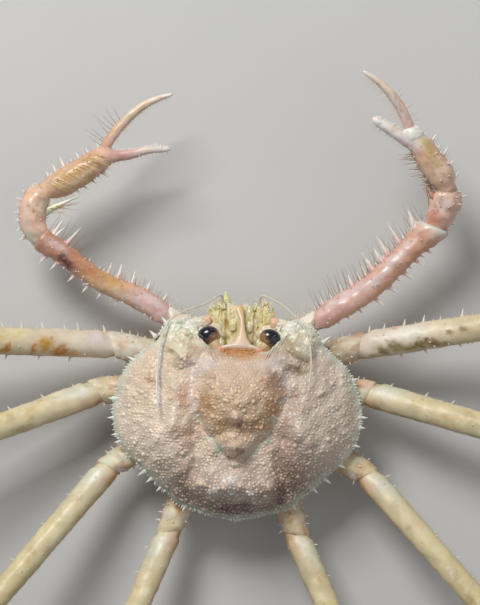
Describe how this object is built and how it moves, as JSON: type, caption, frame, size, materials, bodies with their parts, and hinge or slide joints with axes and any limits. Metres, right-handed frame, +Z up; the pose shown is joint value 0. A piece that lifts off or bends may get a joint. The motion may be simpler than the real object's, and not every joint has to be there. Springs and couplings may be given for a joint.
{
  "type": "platymaia alcocki deep-sea spider crab, still model",
  "caption": "Life-size still deep-sea spider crab with a broad granular shell, spiny curved claw legs held forward and long spread walking legs.",
  "frame": {"origin": "middle of the crab's box on the floor that its leg tips stand on", "axes": "+X to the crab's right, +Y forward over the eyes, +Z up from the floor"},
  "size_m": [0.5524, 0.2844, 0.0457],
  "materials": {
    "shell": "granular pinkish brown shell with pearly grains",
    "underside": "smooth cream shell",
    "leg": "moist cream yellow shell with orange brown stains",
    "claw": "moist rose pink shell with white spines",
    "eye": "glossy blue black",
    "mouthparts": "yellow green, hairy and spiny",
    "feeler": "thin translucent feelers"
  },
  "bodies": {
    "root": {"carapace": "shell", "thorax": "underside", "pleon": "underside", "eye_left": "eye", "maxilliped_left": "mouthparts", "antenna_left": "feeler", "cheliped_left_basis": "claw", "cheliped_left_merus": "claw", "cheliped_left_carpus": "claw", "cheliped_left_palm": "claw", "cheliped_left_finger": "claw", "leg1_left_basis": "leg", "leg1_left_merus": "leg", "leg1_left_carpus": "leg", "leg1_left_propodus": "leg", "leg1_left_dactylus": "leg", "leg2_left_basis": "leg", "leg2_left_merus": "leg", "leg2_left_carpus": "leg", "leg2_left_propodus": "leg", "leg2_left_dactylus": "leg", "leg3_left_basis": "leg", "leg3_left_merus": "leg", "leg3_left_carpus": "leg", "leg3_left_propodus": "leg", "leg3_left_dactylus": "leg", "leg4_left_basis": "leg", "leg4_left_merus": "leg", "leg4_left_carpus": "leg", "leg4_left_propodus": "leg", "leg4_left_dactylus": "leg", "eye_right": "eye", "maxilliped_right": "mouthparts", "antenna_right": "feeler", "cheliped_right_basis": "claw", "cheliped_right_merus": "claw", "cheliped_right_carpus": "claw", "cheliped_right_palm": "claw", "cheliped_right_finger": "claw", "leg1_right_basis": "leg", "leg1_right_merus": "leg", "leg1_right_carpus": "leg", "leg1_right_propodus": "leg", "leg1_right_dactylus": "leg", "leg2_right_basis": "leg", "leg2_right_merus": "leg", "leg2_right_carpus": "leg", "leg2_right_propodus": "leg", "leg2_right_dactylus": "leg", "leg3_right_basis": "leg", "leg3_right_merus": "leg", "leg3_right_carpus": "leg", "leg3_right_propodus": "leg", "leg3_right_dactylus": "leg", "leg4_right_basis": "leg", "leg4_right_merus": "leg", "leg4_right_carpus": "leg", "leg4_right_propodus": "leg", "leg4_right_dactylus": "leg"}
  },
  "joints": []
}
